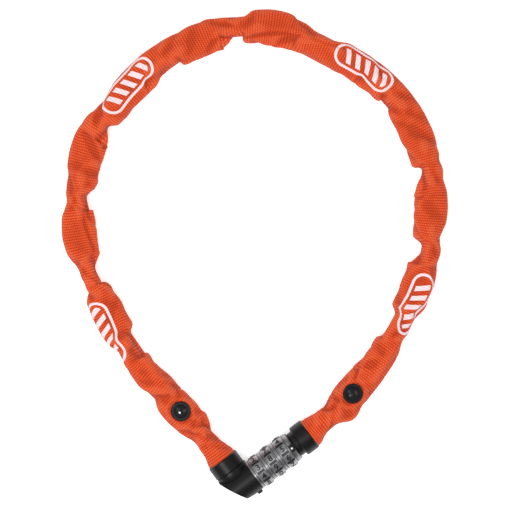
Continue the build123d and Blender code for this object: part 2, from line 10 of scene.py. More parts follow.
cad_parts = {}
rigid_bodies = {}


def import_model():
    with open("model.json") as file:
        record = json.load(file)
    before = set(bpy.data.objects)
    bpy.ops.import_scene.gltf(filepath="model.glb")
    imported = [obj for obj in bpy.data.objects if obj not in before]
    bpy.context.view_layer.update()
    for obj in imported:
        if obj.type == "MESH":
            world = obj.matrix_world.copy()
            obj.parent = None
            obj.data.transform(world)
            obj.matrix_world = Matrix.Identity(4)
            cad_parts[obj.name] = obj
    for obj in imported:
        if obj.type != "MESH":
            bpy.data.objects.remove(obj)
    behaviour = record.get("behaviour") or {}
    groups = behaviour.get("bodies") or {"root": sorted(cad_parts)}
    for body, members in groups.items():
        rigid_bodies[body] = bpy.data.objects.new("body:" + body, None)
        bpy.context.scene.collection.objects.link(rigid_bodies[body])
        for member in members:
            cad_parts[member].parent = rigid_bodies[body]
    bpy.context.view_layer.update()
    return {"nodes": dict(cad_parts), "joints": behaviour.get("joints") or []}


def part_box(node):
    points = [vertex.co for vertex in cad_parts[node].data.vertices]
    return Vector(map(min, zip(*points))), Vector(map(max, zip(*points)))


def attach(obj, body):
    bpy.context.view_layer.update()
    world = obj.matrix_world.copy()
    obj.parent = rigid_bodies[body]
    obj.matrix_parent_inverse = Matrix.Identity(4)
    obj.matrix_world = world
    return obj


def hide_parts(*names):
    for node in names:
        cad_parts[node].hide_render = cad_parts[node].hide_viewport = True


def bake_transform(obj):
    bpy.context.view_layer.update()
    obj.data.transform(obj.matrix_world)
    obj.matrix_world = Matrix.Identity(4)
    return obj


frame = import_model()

MM = 0.001
joints = {j["name"]: j for j in frame["joints"]}
LOCK_CENTRE = Vector(joints["dial_2_turn"]["pos_m"])
LOCK_AXIS = Vector(joints["bolt_slide"]["axis"]).normalized()
TO_LOOP = Vector((-LOCK_AXIS.y, LOCK_AXIS.x, 0.0))
UP = Vector((0.0, 0.0, 1.0))
AXIS_HEIGHT = LOCK_CENTRE.z


def lock_point(u, w, height=0.0):
    """A point given along the lock axis, across it towards the loop, and above it, in mm."""
    return LOCK_CENTRE + (LOCK_AXIS * u + TO_LOOP * w + UP * height) * MM


def add_object(name, data):
    made = bpy.data.objects.new(name, data)
    bpy.context.scene.collection.objects.link(made)
    return made


# ---------------------------------------------------------------- camera, floor and light

FIELD = 0.255  # the width that the photograph shows
LENS = 135.0
SENSOR = 36.0

camera_data = bpy.data.cameras.new("camera")
camera_data.lens = LENS
camera_data.sensor_width = SENSOR
camera = add_object("camera", camera_data)
camera.location = (-0.00025, 0.0001, AXIS_HEIGHT + FIELD * LENS / SENSOR)  # straight above
bpy.context.scene.camera = camera


def area_light(name, place, size, power, mirrored=True):
    """A soft light that points at the middle of the floor. One that isn't mirrored leaves no shine."""
    data = bpy.data.lights.new(name, "AREA")
    data.shape = "RECTANGLE"
    data.size, data.size_y = size
    data.energy = power
    light = add_object(name, data)
    light.location = place
    light.rotation_euler = (-Vector(place)).to_track_quat("-Z", "Y").to_euler()
    light.visible_glossy = mirrored


area_light("top", (0.0, 0.0, 1.30), (1.6, 1.6), 12.0, mirrored=False)
area_light("key", (-0.24, -0.32, 1.00), (0.22, 0.22), 5.0)
area_light("left", (-0.95, 0.45, 1.15), (0.9, 1.1), 2.6)
area_light("right", (1.00, 0.10, 1.15), (0.9, 1.1), 2.6)

world = bpy.data.worlds.new("studio")
world.use_nodes = True
world.node_tree.nodes["Background"].inputs["Color"].default_value = (1.0, 1.0, 1.0, 1.0)
world.node_tree.nodes["Background"].inputs["Strength"].default_value = 0.27
bpy.context.scene.world = world
bpy.context.scene.view_settings.view_transform = "Standard"


# ---------------------------------------------------------------- material helpers

class Shader:
    """Builds one material's nodes, so that each look below reads as a short recipe."""

    def __init__(self, name):
        self.material = bpy.data.materials.new(name)
        self.material.use_nodes = True
        self.tree = self.material.node_tree
        self.bsdf = self.tree.nodes["Principled BSDF"]

    def set(self, **values):
        for name, value in values.items():
            self.bsdf.inputs[name.replace("_", " ")].default_value = value

    def node(self, kind, **settings):
        made = self.tree.nodes.new(kind)
        for name, value in settings.items():
            setattr(made, name, value)
        return made

    def link(self, source, target):
        self.tree.links.new(source, target)

    def feed(self, socket, value):
        if isinstance(value, bpy.types.NodeSocket):
            self.link(value, socket)
        else:
            socket.default_value = value

    def math(self, operation, *values, clamp=False):
        made = self.node("ShaderNodeMath", operation=operation, use_clamp=clamp)
        for socket, value in zip(made.inputs, values):
            self.feed(socket, value)
        return made.outputs[0]

    def vector_math(self, operation, *values):
        made = self.node("ShaderNodeVectorMath", operation=operation)
        for socket, value in zip(made.inputs, values):
            self.feed(socket, value)
        return made.outputs["Value" if operation in ("LENGTH", "DOT_PRODUCT") else "Vector"]

    def smooth(self, value, low, high):
        made = self.node("ShaderNodeMapRange", interpolation_type="SMOOTHSTEP")
        self.feed(made.inputs["Value"], value)
        made.inputs["From Min"].default_value = low
        made.inputs["From Max"].default_value = high
        return made.outputs["Result"]

    def noise(self, vector, scale, detail=3.0, roughness=0.5):
        made = self.node("ShaderNodeTexNoise")
        self.link(vector, made.inputs["Vector"])
        made.inputs["Scale"].default_value = scale
        made.inputs["Detail"].default_value = detail
        made.inputs["Roughness"].default_value = roughness
        return made.outputs["Fac"]

    def mix(self, share, low, high):
        made = self.node("ShaderNodeMix", data_type="RGBA")
        self.feed(made.inputs["Factor"], share)
        self.feed(made.inputs["A"], low)
        self.feed(made.inputs["B"], high)
        return made.outputs["Result"]

    def bump(self, height, distance, strength):
        made = self.node("ShaderNodeBump")
        made.inputs["Strength"].default_value = strength
        made.inputs["Distance"].default_value = distance
        self.link(height, made.inputs["Height"])
        return made.outputs["Normal"]

    def place(self):
        return self.node("ShaderNodeTexCoord").outputs["Object"]


def from_screen(red, green, blue):
    """A colour as a screen shows it, 0 to 255, in the linear values that nodes take."""
    shares = (red / 255, green / 255, blue / 255)
    return tuple(c / 12.92 if c <= 0.04045 else ((c + 0.055) / 1.055) ** 2.4 for c in shares) + (1.0,)


def scaled(colour, share):
    return tuple(c * share for c in colour[:3]) + (1.0,)


# ---------------------------------------------------------------- the woven sleeve's cloth

CELL_LENGTH = 1.25 * MM  # one row of the weave, along the sleeve
CELL_WIDTH = 0.58 * MM  # round the sleeve
SLEEVE_ROUND = 46.0  # mm round the sleeve when it is flat

YARN_DARK = from_screen(146, 42, 18)
YARN_MID = from_screen(221, 76, 33)
YARN_LIGHT = from_screen(253, 112, 61)
PRINT_WHITE = from_screen(242, 228, 232)
# the next two are the painted shade in the creases and the painted highlight on the ridges
CREASE_SHADE_COLOUR = from_screen(140, 38, 12)
RIDGE_HIGHLIGHT_COLOUR = from_screen(250, 128, 84)
WORN_COLOUR = from_screen(200, 62, 30)

# The printed marks
PRINT_LENGTH = 31.0 * MM
PRINT_RING = 5.4 * MM  # the ring's middle, from the mark's centre line
RING_WIDTH = 1.3 * MM
BAR_PITCH = 5.2 * MM
BAR_SHARE = 0.5  # of the pitch
BAR_SLANT = 90.0  # pitches moved along per metre across
BAR_REACH = 3.4 * MM  # from the centre line
BARS = 5


def sleeve_cloth():
    s = Shader("woven_sleeve")
    cloth = s.node("ShaderNodeUVMap", uv_map="cloth").outputs["UV"]
    split = s.node("ShaderNodeSeparateXYZ")
    s.link(cloth, split.inputs["Vector"])
    wander = s.noise(cloth, 140.0, 2.0)
    around = s.math("DIVIDE", split.outputs["X"], CELL_WIDTH)
    around = s.math("ADD", around, s.math("MULTIPLY", wander, 0.8))
    along = s.math("DIVIDE", split.outputs["Y"], CELL_LENGTH)
    along = s.math("ADD", along, s.math("MULTIPLY", wander, 0.9))
    # a plain weave: the yarn that runs round the sleeve is on top in every other cell, and the one along
    # it in the rest
    wave_around = s.math("SINE", s.math("MULTIPLY", around, math.pi))
    wave_along = s.math("SINE", s.math("MULTIPLY", along, math.pi))
    weft_on_top = s.smooth(s.math("MULTIPLY", wave_around, wave_along), -0.10, 0.10)
    bow_around = s.math("ABSOLUTE", wave_around)
    bow_along = s.math("ABSOLUTE", wave_along)
    weft = s.math("MULTIPLY", s.math("POWER", bow_along, 0.8), s.math("POWER", bow_around, 0.35))
    warp = s.math("MULTIPLY", s.math("POWER", bow_along, 0.6), s.math("POWER", bow_around, 0.6))
    hump = s.math("ADD", s.math("MULTIPLY", weft, weft_on_top),
                  s.math("MULTIPLY", warp, s.math("SUBTRACT", 1.0, weft_on_top)))
    fibre_round = s.noise(s.vector_math("MULTIPLY", cloth, (700.0, 5200.0, 1.0)), 1.0, 3.0, 0.7)
    fibre_along = s.noise(s.vector_math("MULTIPLY", cloth, (5200.0, 700.0, 1.0)), 1.0, 3.0, 0.7)
    fibre = s.math("ADD", s.math("MULTIPLY", fibre_round, weft_on_top),
                   s.math("MULTIPLY", fibre_along, s.math("SUBTRACT", 1.0, weft_on_top)))
    height = s.math("ADD", s.math("MULTIPLY", hump, 0.85), s.math("MULTIPLY", fibre, 0.16))
    # the yarns' colour is painted darker in the hollows between them and lighter on their tops, which is
    # painted shade; the cells where the weft is on top are a little lighter, and the fibre streaks vary it
    shade = s.math("ADD", s.math("MULTIPLY", hump, 0.62), s.math("MULTIPLY", weft_on_top, 0.17))
    shade = s.math("ADD", shade, s.math("MULTIPLY", s.math("SUBTRACT", fibre, 0.5), 0.45), clamp=True)
    yarn = s.mix(s.smooth(shade, 0.05, 0.55), YARN_DARK, YARN_MID)
    yarn = s.mix(s.smooth(shade, 0.50, 0.95), yarn, YARN_LIGHT)
    # painted shade darkens the creases, and a painted highlight makes the ridges pale
    crease = s.node("ShaderNodeAttribute", attribute_name="crease").outputs["Fac"]
    yarn = s.mix(s.math("MULTIPLY", s.smooth(crease, 0.02, 0.42), 0.38), yarn, CREASE_SHADE_COLOUR)
    yarn = s.mix(s.math("MULTIPLY", s.smooth(crease, -0.05, -0.35), 0.16), yarn, RIDGE_HIGHLIGHT_COLOUR)
    worn = s.noise(cloth, 46.0, 3.0)
    yarn = s.mix(s.math("MULTIPLY", s.smooth(worn, 0.45, 0.75), 0.20), yarn, WORN_COLOUR)
    # the printed marks: a long ring, with slanted bars inside it
    mark = s.node("ShaderNodeUVMap", uv_map="print").outputs["UV"]
    place = s.node("ShaderNodeSeparateXYZ")
    s.link(mark, place.inputs["Vector"])
    across, length = place.outputs["X"], place.outputs["Y"]
    past = s.math("SUBTRACT", s.math("ABSOLUTE", length), PRINT_LENGTH / 2 - PRINT_RING)
    past = s.math("MAXIMUM", past, 0.0)
    squares = s.math("ADD", s.math("MULTIPLY", across, across), s.math("MULTIPLY", past, past))
    from_middle = s.math("SQRT", squares)
    ring = s.math("ABSOLUTE", s.math("SUBTRACT", from_middle, PRINT_RING))
    ring = s.math("LESS_THAN", ring, RING_WIDTH / 2)
    slant = s.math("ADD", s.math("DIVIDE", length, BAR_PITCH), s.math("MULTIPLY", across, BAR_SLANT))
    bar = s.math("LESS_THAN", s.math("FRACT", slant), BAR_SHARE)
    bar = s.math("MULTIPLY", bar, s.math("LESS_THAN", from_middle, BAR_REACH))
    middle = s.math("ABSOLUTE", s.math("SUBTRACT", slant, BAR_SHARE / 2))
    bar = s.math("MULTIPLY", bar, s.math("LESS_THAN", middle, BARS / 2))
    printed = s.math("MAXIMUM", ring, bar)
    thin = s.math("ADD", s.math("MULTIPLY", hump, 0.35), 0.68, clamp=True)
    s.link(s.mix(s.math("MULTIPLY", printed, thin), yarn, PRINT_WHITE), s.bsdf.inputs["Base Color"])
    s.link(s.math("SUBTRACT", 0.88, s.math("MULTIPLY", hump, 0.14)), s.bsdf.inputs["Roughness"])
    s.link(s.bump(height, 0.00022, 0.9), s.bsdf.inputs["Normal"])
    s.set(Sheen_Weight=0.05, Sheen_Roughness=0.5, Specular_IOR_Level=0.18)
    return s.material


# ---------------------------------------------------------------- metal and plastic

def satin_metal(name, colour, roughness, grain):
    s = Shader(name)
    place = s.place()
    cloud = s.noise(place, 420.0, 4.0)
    fine = s.noise(place, grain, 3.0, 0.7)
    tone = s.mix(s.smooth(cloud, 0.35, 0.7), scaled(colour, 0.82), colour)
    s.link(tone, s.bsdf.inputs["Base Color"])
    s.link(s.math("ADD", roughness, s.math("MULTIPLY", cloud, 0.14)), s.bsdf.inputs["Roughness"])
    s.link(s.bump(fine, 0.00002, 0.5), s.bsdf.inputs["Normal"])
    s.set(Metallic=1.0)
    return s


DIAL_PITCH = 7.5  # mm
DIAL_WIDTH = 5.84  # mm
DIALS_REACH = 1.42  # pitches from the middle dial's centre to past the outer dials' last edges


def lock_metal(name, colour, grooves_below, grooves_above):
    """Satin plating, with painted shade in everything lower than the rims. The grooves' two radii are in mm.
    """
    s = satin_metal(name, colour, 0.30, 5200.0)
    from_axis = s.vector_math("SUBTRACT", s.place(), tuple(LOCK_CENTRE))
    along = s.vector_math("DOT_PRODUCT", from_axis, tuple(LOCK_AXIS))
    axis = s.node("ShaderNodeVectorMath", operation="SCALE")
    axis.inputs[0].default_value = tuple(LOCK_AXIS)
    s.link(along, axis.inputs["Scale"])
    radius = s.vector_math("LENGTH", s.vector_math("SUBTRACT", from_axis, axis.outputs["Vector"]))
    unshaded = s.smooth(radius, grooves_below * MM, grooves_above * MM)
    # a line of painted shade where a dial meets the ring beside it
    from_dial = s.math("PINGPONG", along, DIAL_PITCH * MM / 2)
    line_gap = s.math("ABSOLUTE", s.math("SUBTRACT", from_dial, DIAL_WIDTH * MM / 2))
    off_line = s.smooth(line_gap, 0.10 * MM, 0.32 * MM)
    past_dials = s.math("GREATER_THAN", s.math("ABSOLUTE", along), DIAL_PITCH * MM * DIALS_REACH)
    unshaded = s.math("MULTIPLY", unshaded, s.math("MAXIMUM", off_line, past_dials))
    base = s.bsdf.inputs["Base Color"].links[0].from_socket
    # in the grooves and on the lines, a dark colour that is not metallic is painted shade
    s.link(s.mix(unshaded, from_screen(34, 33, 34), base), s.bsdf.inputs["Base Color"])
    s.link(unshaded, s.bsdf.inputs["Metallic"])
    return s


def moulded_plastic(name, colour, roughness, grain, depth):
    s = Shader(name)
    place = s.place()
    cloud = s.noise(place, 160.0, 3.0)
    fine = s.noise(place, grain, 3.0, 0.6)
    s.link(s.mix(cloud, scaled(colour, 0.7), scaled(colour, 1.25)), s.bsdf.inputs["Base Color"])
    s.link(s.math("ADD", roughness - 0.06, s.math("MULTIPLY", fine, 0.14)), s.bsdf.inputs["Roughness"])
    s.link(s.bump(fine, depth, 0.6), s.bsdf.inputs["Normal"])
    s.set(Specular_IOR_Level=0.28)
    return s


BLACK = from_screen(9, 9, 10)
steel = satin_metal("chain_steel", (0.62, 0.62, 0.60, 1.0), 0.28, 2400.0).material
spring_steel = satin_metal("spring_steel", (0.50, 0.50, 0.52, 1.0), 0.24, 3000.0).material
bolt_steel = satin_metal("bolt_steel", (0.60, 0.60, 0.60, 1.0), 0.22, 2600.0).material
brass = satin_metal("brass", (0.78, 0.58, 0.26, 1.0), 0.24, 2600.0).material
dial_metal = lock_metal("dial_metal", (0.34, 0.34, 0.35, 1.0), 7.45, 7.80).material
ring_metal = lock_metal("ring_metal", (0.30, 0.30, 0.31, 1.0), 7.3, 7.55).material
housing_plastic = moulded_plastic("black_plastic", BLACK, 0.42, 3600.0, 0.00003).material
lever_plastic = moulded_plastic("lever_plastic", BLACK, 0.50, 3000.0, 0.00003).material
black_zinc = moulded_plastic("black_zinc", from_screen(10, 10, 11), 0.40, 2600.0, 0.00002).material
# the digits' dark paint, also used for the painted shade in the end mark's recess
digit_paint_and_recess_shade = moulded_plastic("digit_paint_and_recess_shade", from_screen(24, 24, 26), 0.5, 4200.0, 0.00001).material
mark_paint = moulded_plastic("mark_paint", from_screen(222, 222, 220), 0.5, 4200.0, 0.00001).material


def polished_black():
    s = Shader("rivet_black")
    place = s.place()
    cloud = s.noise(place, 300.0, 3.0)
    scratches = s.noise(place, 2100.0, 4.0, 0.7)
    s.link(s.mix(cloud, (0.004, 0.004, 0.005, 1.0), (0.010, 0.010, 0.012, 1.0)), s.bsdf.inputs["Base Color"])
    s.link(s.math("ADD", 0.10, s.math("MULTIPLY", scratches, 0.10)), s.bsdf.inputs["Roughness"])
    s.set(Specular_IOR_Level=0.35, Coat_Weight=0.3, Coat_Roughness=0.06)
    return s.material


rivet_black = polished_black()

FINISHES = {
    "chain_": steel, "end_link_": steel, "stack_springs": spring_steel, "detent_springs": spring_steel,
    "dial_": dial_metal, "index_ring": ring_metal, "end_ring": ring_metal, "spacer_rings": ring_metal,
    "barrel": brass, "code_hub_": brass,
    "barrel_pin": bolt_steel, "bolt": bolt_steel, "chain_pin_": bolt_steel,
    "bolt_head": black_zinc, "bolt_cross_pin": black_zinc, "lock_frame": black_zinc,
    "housing_jacket": housing_plastic, "collar_": housing_plastic, "code_change_lever": lever_plastic,
    "rivet_": rivet_black,
}
for name, node in frame["nodes"].items():
    found = [key for key in FINISHES if name.startswith(key)]
    if found:
        node.data.materials.clear()
        node.data.materials.append(FINISHES[max(found, key=len)])


# ---------------------------------------------------------------- the sleeve's centre line

# The chain's route, in mm, seen from above, from the elbow up the left side and down the right side.
# These are part.py's points.
ROUTE = [(-28, -87.4), (-45.5, -68.9), (-63, -47.4), (-77, -22.9), (-86, 1.6), (-88, 28.6), (-82, 56.6),
         (-65.5, 80.1), (-41.5, 99.6), (-13.5, 112.1), (15, 111.6), (44, 99.1), (68, 80.1), (83.5, 54.6),
         (88, 24.6), (83, -9.4), (70, -38.9), (53.5, -63.9)]
LEFT_END = lock_point(-20.0, 14.4)
RIGHT_END = lock_point(21.4, 0.0)
STEP = 0.75  # mm between the fine mesh's rings
AROUND = 96  # points round the fine mesh


def smooth_line(points, start_way, end_way, step):
    """Evenly spaced points on the smooth curve through the given ones, with its two end directions."""
    points = np.array(points, float)
    knots = np.r_[0, np.cumsum(np.hypot(*np.diff(points, axis=0).T))]
    gaps = np.diff(knots)
    count = len(points)
    system, right = np.zeros((count, count)), np.zeros((count, 2))
    system[0, 0] = system[-1, -1] = 1
    right[0], right[-1] = start_way, end_way
    for i in range(1, count - 1):
        before, after = gaps[i - 1], gaps[i]
        system[i, i - 1], system[i, i], system[i, i + 1] = after, 2 * (before + after), before
        slope_before, slope_after = (points[i] - points[i - 1]) / before, (points[i + 1] - points[i]) / after
        right[i] = 3 * (after * slope_before + before * slope_after)
    ways = np.linalg.solve(system, right)
    fine = np.linspace(0, knots[-1], 8000)
    i = np.clip(np.searchsorted(knots, fine, side="right") - 1, 0, count - 2)
    t = ((fine - knots[i]) / gaps[i])[:, None]
    g = gaps[i][:, None]
    line = ((2 * t**3 - 3 * t**2 + 1) * points[i] + (t**3 - 2 * t**2 + t) * g * ways[i]
            + (3 * t**2 - 2 * t**3) * points[i + 1] + (t**3 - t**2) * g * ways[i + 1])
    run = np.r_[0, np.cumsum(np.hypot(*np.diff(line, axis=0).T))]
    stations = np.linspace(0, run[-1], int(round(run[-1] / step)) + 1)
    return np.column_stack([np.interp(stations, run, line[:, k]) for k in (0, 1)]), stations


route_points = [tuple(c / MM for c in LEFT_END.xy), *ROUTE, tuple(c / MM for c in RIGHT_END.xy)]
line, along = smooth_line(route_points, tuple(TO_LOOP.xy), tuple(-LOCK_AXIS.xy), STEP)
forward = np.gradient(line, axis=0)
forward /= np.hypot(*forward.T)[:, None]
inward = np.column_stack([forward[:, 1], -forward[:, 0]])
LENGTH = along[-1]
LINKS = 27
LINK_STEP = LENGTH / LINKS

# ---------------------------------------------------------------- the sleeve's outline and section

# Seen from above, the sleeve is a waist line with a crowned lobe raised on it wherever links lie flat.
# Places are mm from the left collar, and the rest are half widths in mm. They follow the photograph, and
# were set after its outline had been measured.
INSIDE_LOBES = [
    (23, 66, 8), (83, 108, 9), (124, 149, 8), (158, 186, 9), (197, 224, 8.5), (245, 268, 8.5),
    (282, 308, 8.5), (312, 346, 9), (349, 363, 8.5), (370, 405, 9.5), (418, 444, 9.5), (456, 483, 9),
    (499, 542, 8.5),
]
INSIDE_WAISTS = [
    (0, 7.4), (15, 4.5), (74, 4), (116, 4), (152, 4.5), (190, 4.5), (232, 6), (275, 3), (310, 6.5), (364, 7),
    (409, 4), (451, 3.5), (491, 5.5), (549, 6), (561, 7.4),
]
OUTSIDE_LOBES = [
    (22, 45, 9), (45, 66, 7), (78, 106, 7.5), (126, 149, 8.5), (165, 198, 8), (210, 268, 8.5), (284, 307, 9),
    (330, 404, 7), (416, 438, 7.5), (461, 477, 7.5), (498, 530, 7), (533, 543, 9),
]
OUTSIDE_WAISTS = [
    (0, 7.4), (7, 6.5), (69, 5.5), (115, 4), (155, 6.5), (203, 6.5), (275, 6), (316, 5), (407, 6), (453, 5.5),
    (488, 5), (552, 5.5), (561, 7.4),
]
CROWN = 0.10  # how much lower a lobe is at its ends than at its middle, as a share of its half width
INSIDE_RAMP, OUTSIDE_RAMP = 5.0, 8.0  # mm that a lobe's end takes to rise

# Half heights in mm, over the links
FLAT_LINKS = (2, 5, 7, 9, 11, 13, 15, 17, 19, 21, 23, 26)
TILTED_LINKS = (3, 4, 24, 25)
RIVETED_LINKS = (2, 26)
FLAT_HEIGHT, TILTED_HEIGHT, EDGE_HEIGHT, RIVETED_HEIGHT = 5.4, 7.2, 8.3, 5.6
MOUTH_RADIUS = 7.4  # where a collar holds the sleeve
MOUTH_LENGTH = 2.0
HEIGHT_BLUR = 3.0


def eased(stations, values, where, blur):
    """A line through the given points, with its corners rounded over about blur mm."""
    straight = np.interp(where, stations, values)
    reach = int(4 * blur / STEP) + 1
    kernel = np.exp(-0.5 * (np.arange(-reach, reach + 1) * STEP / blur) ** 2)
    padded = np.r_[np.full(reach, straight[0]), straight, np.full(reach, straight[-1])]
    return np.convolve(padded, kernel / kernel.sum(), mode="valid")


def eased_step(t):
    t = np.clip(t, 0, 1)
    return t * t * (3 - 2 * t)


def edge(lobes, waists, ramp):
    """Half widths along the sleeve, in mm: the waist line, with a lobe raised on it for each row."""
    low = np.interp(along, *zip(*waists))
    made = low.copy()
    for start, end, half in lobes:
        rise = eased_step((along - start) / ramp + 0.5) * eased_step((end - along) / ramp + 0.5)
        share = np.clip((along - start) / (end - start), 0, 1)
        crowned = half * (1 - CROWN * (2 * share - 1) ** 2)
        made = np.maximum(made, low + (crowned - low) * rise)
    return made


inner = edge(INSIDE_LOBES, INSIDE_WAISTS, INSIDE_RAMP)
outer = edge(OUTSIDE_LOBES, OUTSIDE_WAISTS, OUTSIDE_RAMP)
link_heights = [RIVETED_HEIGHT if k in RIVETED_LINKS else FLAT_HEIGHT if k in FLAT_LINKS
                else TILTED_HEIGHT if k in TILTED_LINKS else EDGE_HEIGHT for k in range(1, LINKS + 1)]
link_middles = (np.arange(1, LINKS + 1) - 0.5) * LINK_STEP
half_height = eased(np.r_[0, MOUTH_LENGTH, link_middles[1:-1], LENGTH - MOUTH_LENGTH, LENGTH],
                    np.r_[MOUTH_RADIUS, MOUTH_RADIUS, link_heights[1:-1], MOUTH_RADIUS, MOUTH_RADIUS],
                    along, HEIGHT_BLUR)

FULLNESS = 0.78  # under 1 fills the corners of the section out
ROUND_ENDS = 6.0  # mm from a collar over which the section turns from round to full


def sections():
    """Offsets towards the loop's inside and up, in mm, for each ring, evenly round it from the bottom."""
    turn = np.linspace(-0.5 * math.pi, 1.5 * math.pi, 361)  # 0 is the loop's inside, and 90 degrees the top
    wide = np.sign(np.cos(turn)) * np.abs(np.cos(turn)) ** FULLNESS
    tall = np.sign(np.sin(turn)) * np.abs(np.sin(turn)) ** FULLNESS
    rings = np.zeros((len(along), AROUND + 1, 2))
    for i in range(len(along)):
        middle, half = (inner[i] - outer[i]) / 2, (inner[i] + outer[i]) / 2
        ends = min(1.0, along[i] / ROUND_ENDS, (LENGTH - along[i]) / ROUND_ENDS)
        x = middle + half * (wide * ends + np.cos(turn) * (1 - ends))
        z = half_height[i] * (tall * ends + np.sin(turn) * (1 - ends))
        run = np.r_[0, np.cumsum(np.hypot(np.diff(x), np.diff(z)))]
        even = np.linspace(0, run[-1], AROUND + 1)
        rings[i, :, 0], rings[i, :, 1] = np.interp(even, run, x), np.interp(even, run, z)
    return rings[:, :-1]


rings = sections()
share_round = np.arange(AROUND) / AROUND  # 0 bottom, 0.25 the loop's inside, 0.5 top, 0.75 outside

# Where the cloth folds over itself beside a lobe: mm from the left collar, mm that it overlaps, mm that
# it reaches, and its place round. They are the photograph's notches.
FOLDS = [
    (67.5, 2.0, 1.9, 0.25), (110, 2.3, 1.8, 0.27), (123, 1.0, 2.4, 0.75),
    (149, 2.6, 1.9, 0.27), (186, 2.4, 2.0, 0.27), (224.5, 1.2, 2.4, 0.25), (244.5, 1.6, 2.0, 0.24),
    (269.5, 2.3, 1.8, 0.25), (281, 2.1, 1.8, 0.25), (309, 2.1, 1.9, 0.27), (347, 1.4, 2.4, 0.24),
    (364, 1.6, 2.4, 0.28), (405.8, 1.6, 1.8, 0.25), (421, 1.4, 2.2, 0.25), (456, 1.1, 2.2, 0.26),
    (498, 1.0, 2.2, 0.26), (520, 1.5, 2.0, 0.27), (537.5, 1.5, 2.0, 0.27),
    (306.5, 1.0, 2.4, 0.75),
]
FOLD_SPREAD = 0.11  # of the way round
FOLD_GAIN = 0.72
LIP_HEIGHT, LIP_PLACE, LIP_WIDTH = 0.32, 1.3, 0.8  # the last two in the fold's reaches
DIP_DEPTH, DIP_WIDTH = 0.9, 0.6
LIP_TO_TOP, LIP_SPREAD = 0.06, 0.13  # of the way round

# Creases and ridges: mm from the left collar, place round, slant (mm along per mm round),
# spread round in mm, half width in mm, and depth in mm (plus is a ridge)
WRINKLE_DEPTH = 1.5  # times the depths below
WRINKLES = [
    (9, 0.45, 0.8, 9, 1.6, -0.6), (13, 0.60, -0.7, 9, 1.8, 0.5), (17, 0.38, 0.9, 8, 1.6, 0.5),
    (21, 0.58, 1.1, 7, 1.6, -0.8), (39, 0.40, -0.6, 7, 1.6, -0.5), (44, 0.55, 0.7, 9, 1.9, -0.8),
    (49, 0.42, 1.0, 9, 2.0, -0.9), (53, 0.60, 0.5, 8, 2.0, 0.6), (58, 0.47, 0.9, 9, 1.8, -0.5),
    (68, 0.36, 1.2, 9, 1.6, -0.8), (72, 0.52, -0.8, 9, 1.8, 0.5), (78, 0.40, -1.2, 9, 1.8, 0.6),
    (85, 0.66, 0.6, 9, 2.0, 0.5), (97, 0.38, -0.9, 9, 1.8, -0.5), (104, 0.58, 0.8, 9, 1.8, -0.6),
    (109, 0.36, 1.3, 8, 1.5, -0.9), (115, 0.60, 0.4, 9, 1.8, 0.4), (122, 0.45, -1.0, 10, 1.8, -0.6),
    (137, 0.39, 4.0, 7, 1.6, -0.8), (147, 0.38, 1.3, 9, 1.5, -1.1), (152, 0.55, 0.2, 11, 1.8, -0.6),
    (158, 0.42, -0.9, 9, 1.8, 0.6), (164, 0.56, 0.3, 10, 1.7, -0.7), (169, 0.47, 0.2, 11, 1.7, -0.8),
    (173, 0.40, -0.7, 8, 1.8, 0.7), (180, 0.43, 0.8, 10, 1.6, -0.9), (186, 0.37, 1.4, 8, 1.5, -1.0),
    (190, 0.55, -0.7, 10, 1.8, 0.6), (195, 0.50, 0.9, 11, 1.6, -0.9), (201, 0.36, -0.8, 8, 1.8, 0.5),
    (226, 0.36, 0.9, 9, 1.8, -0.7), (234, 0.60, -0.6, 9, 2.0, 0.5), (240, 0.45, 0.9, 11, 1.8, -0.8),
    (246, 0.36, -1.1, 8, 1.6, -0.7), (256, 0.56, 0.7, 9, 1.8, -0.4), (266, 0.42, 1.3, 9, 1.6, -0.9),
    (272, 0.60, -0.8, 9, 1.8, 0.6), (279, 0.42, -1.3, 9, 1.7, -0.8), (286, 0.58, 0.6, 9, 1.8, -0.5),
    (294, 0.41, 5.0, 7, 1.4, -0.9), (304, 0.38, 1.1, 9, 1.6, -0.8), (310, 0.46, 1.4, 10, 1.7, -0.7),
    (316, 0.62, -1.2, 10, 2.2, -0.9), (323, 0.50, -0.9, 10, 2.0, 0.5), (349, 0.36, 0.9, 8, 1.8, -0.5),
    (361, 0.42, -0.9, 9, 1.6, -0.9), (367, 0.50, 0.8, 10, 1.6, -0.8), (373, 0.42, 0.9, 9, 1.6, -0.8),
    (379, 0.60, -0.5, 9, 1.8, 0.5), (387, 0.52, 1.1, 9, 1.8, -0.7), (395, 0.64, 0.8, 8, 2.0, -0.7),
    (403, 0.38, 1.4, 9, 1.6, -0.8), (410, 0.58, -0.5, 9, 1.8, 0.5), (418, 0.42, -1.1, 9, 1.7, -0.6),
    (429, 0.56, 0.8, 9, 1.9, -0.5), (444, 0.44, 1.0, 10, 1.7, -0.8), (452, 0.58, -0.9, 10, 1.8, 0.5),
    (459, 0.38, -1.2, 8, 1.8, -0.5), (478, 0.38, 0.9, 9, 1.8, -0.5), (486, 0.48, 1.0, 10, 1.8, -0.7),
    (493, 0.60, -0.6, 9, 1.8, 0.5), (498, 0.40, -1.0, 9, 1.7, -0.6), (507, 0.52, 0.8, 10, 1.8, -0.5),
    (514, 0.44, -0.9, 9, 1.7, -0.6), (521, 0.36, 1.5, 7, 1.7, -0.6), (537, 0.36, -1.5, 7, 1.7, -0.6),
    (541, 0.50, -0.8, 8, 1.8, -0.4), (547, 0.56, 0.9, 9, 1.7, -0.6), (553, 0.44, 0.8, 9, 1.8, 0.4),
]


def bell(x):
    return np.exp(-0.5 * x**2)


def round_gap(place):
    """How far each point round the sleeve is from a place, as a share of the way round, the shorter way."""
    gap = np.abs(share_round - place) % 1
    return np.minimum(gap, 1 - gap)


